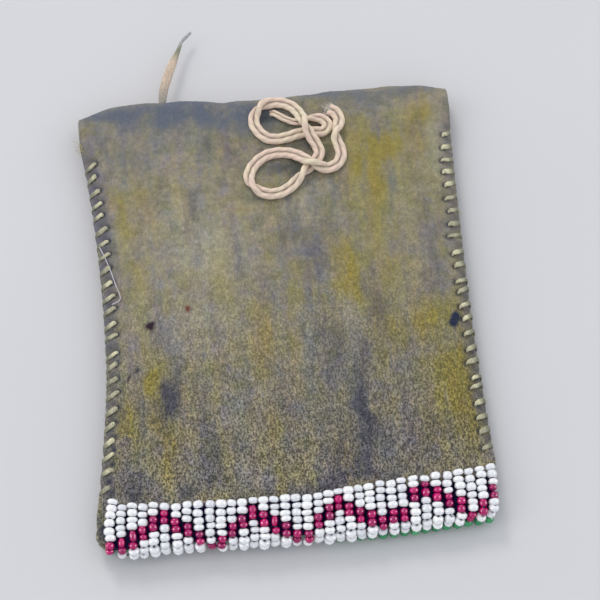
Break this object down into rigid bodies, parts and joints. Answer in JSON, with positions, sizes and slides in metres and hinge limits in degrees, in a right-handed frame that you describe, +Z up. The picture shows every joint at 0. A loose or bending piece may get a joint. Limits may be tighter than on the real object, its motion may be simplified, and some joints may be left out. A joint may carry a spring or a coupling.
{
  "type": "strike-a-light bag",
  "caption": "Small flat hide pouch with a fold-over flap, thong-laced sides, a zigzag glass-bead band round its bottom fold, a looped cotton tie cord and a short thong at the top.",
  "frame": {"origin": "under the middle of the bag, on the surface it lies on", "axes": "+Y towards the top fold, +Z up out of the back, +X to the right as one looks at the back"},
  "size_m": [0.083, 0.1219, 0.0125],
  "materials": {
    "hide": "matt napped suede, stained",
    "lacing": "matt",
    "white_glass": "opaque, glossy",
    "red_glass": "glossy",
    "green_glass": "glossy",
    "cotton": "twisted string, matt",
    "thong": "matt"
  },
  "bodies": {
    "root": {"hide_bag": "hide", "seam_lacing_left": "lacing", "seam_lacing_right": "lacing", "white_bead_string": "white_glass", "red_bead_pair_01": "red_glass", "red_bead_pair_02": "red_glass", "red_bead_pair_03": "red_glass", "red_bead_pair_04": "red_glass", "red_bead_pair_05": "red_glass", "red_bead_pair_06": "red_glass", "red_bead_pair_07": "red_glass", "red_bead_pair_08": "red_glass", "red_bead_pair_09": "red_glass", "red_bead_pair_10": "red_glass", "red_bead_pair_11": "red_glass", "red_bead_pair_12": "red_glass", "red_bead_pair_13": "red_glass", "red_bead_pair_14": "red_glass", "red_bead_pair_15": "red_glass", "red_bead_pair_16": "red_glass", "red_bead_pair_17": "red_glass", "red_bead_pair_18": "red_glass", "red_bead_pair_19": "red_glass", "red_bead_pair_20": "red_glass", "red_bead_pair_21": "red_glass", "red_bead_pair_22": "red_glass", "red_bead_pair_23": "red_glass", "red_bead_pair_24": "red_glass", "red_bead_pair_25": "red_glass", "red_bead_pair_26": "red_glass", "red_bead_pair_27": "red_glass", "red_bead_pair_28": "red_glass", "red_bead_pair_29": "red_glass", "red_bead_pair_30": "red_glass", "red_bead_pair_31": "red_glass", "red_bead_pair_32": "red_glass", "red_bead_pair_33": "red_glass", "red_bead_pair_34": "red_glass", "red_bead_pair_35": "red_glass", "red_bead_pair_36": "red_glass", "green_bead_lane_1": "green_glass", "green_bead_lane_2": "green_glass", "green_bead_lane_3": "green_glass", "green_bead_lane_4": "green_glass", "tie_cord": "cotton", "tie_cord_knot": "cotton", "flap_thong": "thong"}
  },
  "joints": []
}
